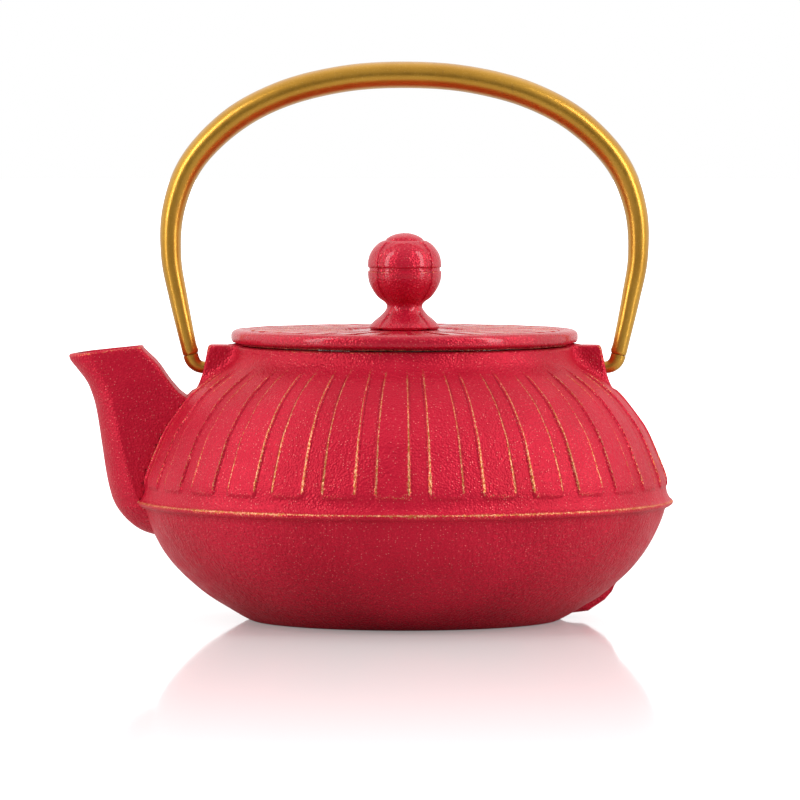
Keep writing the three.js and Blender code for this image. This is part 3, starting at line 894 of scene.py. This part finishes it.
def make_tube(gold):
    """An oval tube that tapers to both ends of the arch and is open at the ends."""
    line = arch_line()
    total = lengths_along(line)[-1]
    sides, rows = 56, 260
    turns = np.linspace(0, 2 * math.pi, sides, endpoint=False)
    stations = np.linspace(0, 1, rows)

    def ring(station, inset, shift=0.0):
        centre = places_at(line, [station * total])[0]
        ahead = places_at(line, [min(station + 0.002, 1) * total])[0]
        behind = places_at(line, [max(station - 0.002, 0) * total])[0]
        tangent = (ahead - behind) / np.linalg.norm(ahead - behind)
        outward = np.array([-tangent[1], tangent[0]])
        full = 1 - max(0.0, (abs(2 * station - 1) - 0.4) / 0.6) ** 1.28
        thick, wide, wall = (lerp(*pair, full) for pair in (TUBE_THICK, TUBE_WIDE, TUBE_WALL))
        to_end = (1 - abs(2 * station - 1)) / 2 * total
        rolled_in = math.exp(-to_end / 0.3)
        thick, wide = thick - 0.06 * rolled_in, wide - 0.16 * rolled_in
        nub = 0.3 * np.exp(-((to_end - 1.2) / 0.8) ** 2) * np.maximum(-np.cos(turns), 0) ** 6
        depth = (thick / 2 - inset * wall + (nub if not inset else 0)) * np.cos(turns)
        across = (wide / 2 - inset * wall) * np.sin(turns)
        spot = centre + tangent * shift
        return np.column_stack([spot[0] + outward[0] * depth, across, spot[1] + outward[1] * depth])

    rings = [ring(0, 0.5, 0.0), ring(0, 0.2, 0.05)]
    rings += [ring(s, 0, 0.2 if s == 0 else (-0.2 if s == 1 else 0)) for s in stations]
    rings += [ring(1, 0.2, -0.05), ring(1, 0.5, 0.0)]
    rings += [ring(s, 1) for s in stations[::-4]]
    count = len(rings) * sides
    vertices = np.vstack(rings)
    faces = [tuple(k % count for k in face) for face in ring_faces(len(rings) + 1, sides)]
    tube = piece("bail_tube", vertices, faces, [gold])
    finish_faces(tube, 60)
    roughen(tube, 0.05, 12)
    return tube


def make_hook(side, gold):
    """The bent rod in one end of the tube, with its end in the lug's hole."""
    line = arch_line()
    total = lengths_along(line)[-1]
    end, near = places_at(line, [total, total - 0.5])
    up = (near - end) / np.linalg.norm(near - end)
    shoulder = end - 0.05 * up
    corner = shoulder + up * (PIVOT_HEIGHT - shoulder[1]) / up[1]
    start = np.array([61.0, PIVOT_HEIGHT])
    t = np.linspace(0, 1, 26)[:, None]
    bend = (1 - t) ** 2 * start + 2 * t * (1 - t) * corner + t**2 * shoulder
    straight = np.column_stack([np.linspace(HOOK_TIP, 61, 12, endpoint=False), np.full(12, PIVOT_HEIGHT)])
    spigot = shoulder + up * np.array([0, 0.02, 3, 7.2, 7.5])[:, None]
    path = np.vstack([straight, bend, spigot[1:]])
    thickened = lerp(HOOK_BEND_RADIUS, HOOK_SHOULDER_RADIUS, smooth(np.linspace(0, 1, len(bend)), 0, 1))
    worn = lerp(HOOK_RADIUS, HOOK_BEND_RADIUS, smooth(np.linspace(0, 1, len(straight)), 0.8, 1))
    radii = np.concatenate([worn, thickened, [1.05, 1.05, 1.05, 0.8]])
    radii[0], radii[1] = HOOK_RADIUS - 0.45, HOOK_RADIUS
    path[1] = path[0] + (0.45, 0)
    turns = np.linspace(0, 2 * math.pi, 36, endpoint=False)
    tangents = np.gradient(path, axis=0)
    tangents /= np.linalg.norm(tangents, axis=1)[:, None]
    rings = []
    for centre, tangent, radius in zip(path, tangents, radii):
        normal = np.array([-tangent[1], tangent[0]])
        depth = radius * np.cos(turns)
        rings.append(np.column_stack([side * (centre[0] + normal[0] * depth), radius * np.sin(turns),
                                      centre[1] + normal[1] * depth]))
    name = "hook_right" if side > 0 else "hook_left"
    hook = piece(name, *capped(rings), [gold])
    finish_faces(hook, 50)
    roughen(hook, 0.05, 2.5)
    return hook


# ---- Camera, floor and light

def studio():
    scene = bpy.context.scene
    scene.view_settings.view_transform = "Standard"
    camera = bpy.data.objects.new("camera", bpy.data.cameras.new("camera"))
    camera.data.lens, camera.data.sensor_width = 315, 36
    camera.data.clip_end = 50
    camera.location = (-0.0014, -2.135, 0.166)
    aim = Vector((-0.0014, 0, 0.067))
    camera.rotation_euler = (aim - camera.location).to_track_quat("-Z", "Y").to_euler()
    scene.collection.objects.link(camera)
    scene.camera = camera

    white = (1, 1, 1, 1)
    ground = Shader("floor", (0.8, 0.8, 0.8), Specular_IOR_Level=0.5, Emission_Color=white)
    # Painted light: the camera sees a paler floor colour than the one that bounces light onto the pot.
    seen = ground.add("ShaderNodeLightPath").outputs["Is Camera Ray"]
    ground.set("Base Color", ground.mix(seen, (0.62, 0.62, 0.62), (0.8, 0.8, 0.8)))
    ground.set("Roughness", ground.ramp(ground.noise(6, 2), 0.3, 0.7, 0.05, 0.07))
    away = ground.add("ShaderNodeVectorMath", {0: ground.place}, operation="LENGTH").outputs["Value"]
    # Painted light: the floor glows for camera rays only, faintly beside the pot and fully white from about
    # 0.9 m away, so it fades into the white backdrop.
    ground.set("Emission Strength", ground.math("MULTIPLY", seen, ground.ramp(away, 0.04, 0.9, 0.2, 1)))
    reach = 9000
    corners = [(-reach, -reach, 0), (reach, -reach, 0), (reach, reach, 0), (-reach, reach, 0)]
    floor = piece("floor", corners, [(0, 1, 2, 3)], [ground.material])

    world = bpy.data.worlds.new("studio")
    scene.world = world
    world.use_nodes = True
    nodes, links = world.node_tree.nodes, world.node_tree.links
    background = nodes["Background"]
    direction = nodes.new("ShaderNodeTexCoord").outputs["Generated"]
    split = nodes.new("ShaderNodeSeparateXYZ")
    links.new(direction, split.inputs[0])

    def graded(axis, low, high, start, end):
        """A strength that changes with the direction along one axis."""
        node = nodes.new("ShaderNodeMapRange")
        node.interpolation_type = "SMOOTHSTEP"
        names = ("From Min", "From Max", "To Min", "To Max")
        for socket, value in zip(names, (low, high, start, end)):
            node.inputs[socket].default_value = value
        links.new(axis, node.inputs["Value"])
        return node.outputs["Result"]

    def added(first, second, operation="ADD"):
        node = nodes.new("ShaderNodeMath")
        node.operation = operation
        for socket, value in zip(node.inputs, (first, second)):
            if value is not None:
                links.new(value, socket)
        return node.outputs[0]

    behind = graded(split.outputs["Y"], -0.6, 0.7, 0.2, 1.0)
    aside = graded(added(split.outputs["X"], None, "ABSOLUTE"), 0.6, 1.0, 0, 0.5)
    above = graded(split.outputs["Z"], 0.1, 0.9, 0, 0.45)
    seen = nodes.new("ShaderNodeLightPath")
    strength = nodes.new("ShaderNodeMix")
    links.new(seen.outputs["Is Camera Ray"], strength.inputs[0])
    links.new(added(added(behind, aside), above), strength.inputs[2])
    strength.inputs[3].default_value = 1.0
    links.new(strength.outputs[0], background.inputs["Strength"])
    background.inputs["Color"].default_value = white

    lamps_away = 1.25
    for name, turn, power in (("left_strip", -62, 11.5), ("right_strip", 62, 13)):
        lamp = bpy.data.objects.new(name, bpy.data.lights.new(name, "AREA"))
        lamp.data.shape, lamp.data.energy = "RECTANGLE", power
        lamp.data.size, lamp.data.size_y = 0.3, 1.5
        out = math.radians(turn)
        lamp.location = (lamps_away * math.sin(out), -lamps_away * math.cos(out), 0.75)
        lamp.rotation_euler = (Vector((0, 0, 0.3)) - lamp.location).to_track_quat("-Z", "Y").to_euler()
        scene.collection.objects.link(lamp)


# ---- The model

def stands_for(obj, body, node):
    """Puts a piece on its body in place of a CAD node."""
    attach(obj, body)
    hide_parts(node)


studio()
red, glossy_red = red_paint("red_paint", 0), red_paint("glossy_red_paint", 1)
black, gold = black_enamel(), gold_paint()
stainless = steel("stainless", STAINLESS, 0.2, 0.36, (120, 120, 2600))
zinc = steel("zinc", (0.5, 0.51, 0.52), 0.32, 0.5, (900, 900, 900))

stands_for(make_pot(red, black), "pot", "pot_body")
stands_for(make_lid(glossy_red), "lid", "lid")
stands_for(make_knob(glossy_red), "lid", "knob")
stands_for(make_tube(gold), "handle", "handle_tube")
stands_for(make_hook(1, gold), "handle", "handle_hook_right")
stands_for(make_hook(-1, gold), "handle", "handle_hook_left")

finishes = {
    "knob_stud": zinc,
    "knob_washer": zinc,
    "knob_nut": zinc,
    "infuser_rim": stainless,
    "infuser_wall": perforated("mesh_wall", STAINLESS, flat=False),
    "infuser_base_ring": stainless,
    "infuser_floor": perforated("mesh_floor", STAINLESS, flat=True),
}
for node, finish in finishes.items():
    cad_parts[node].material_slots[0].material = finish
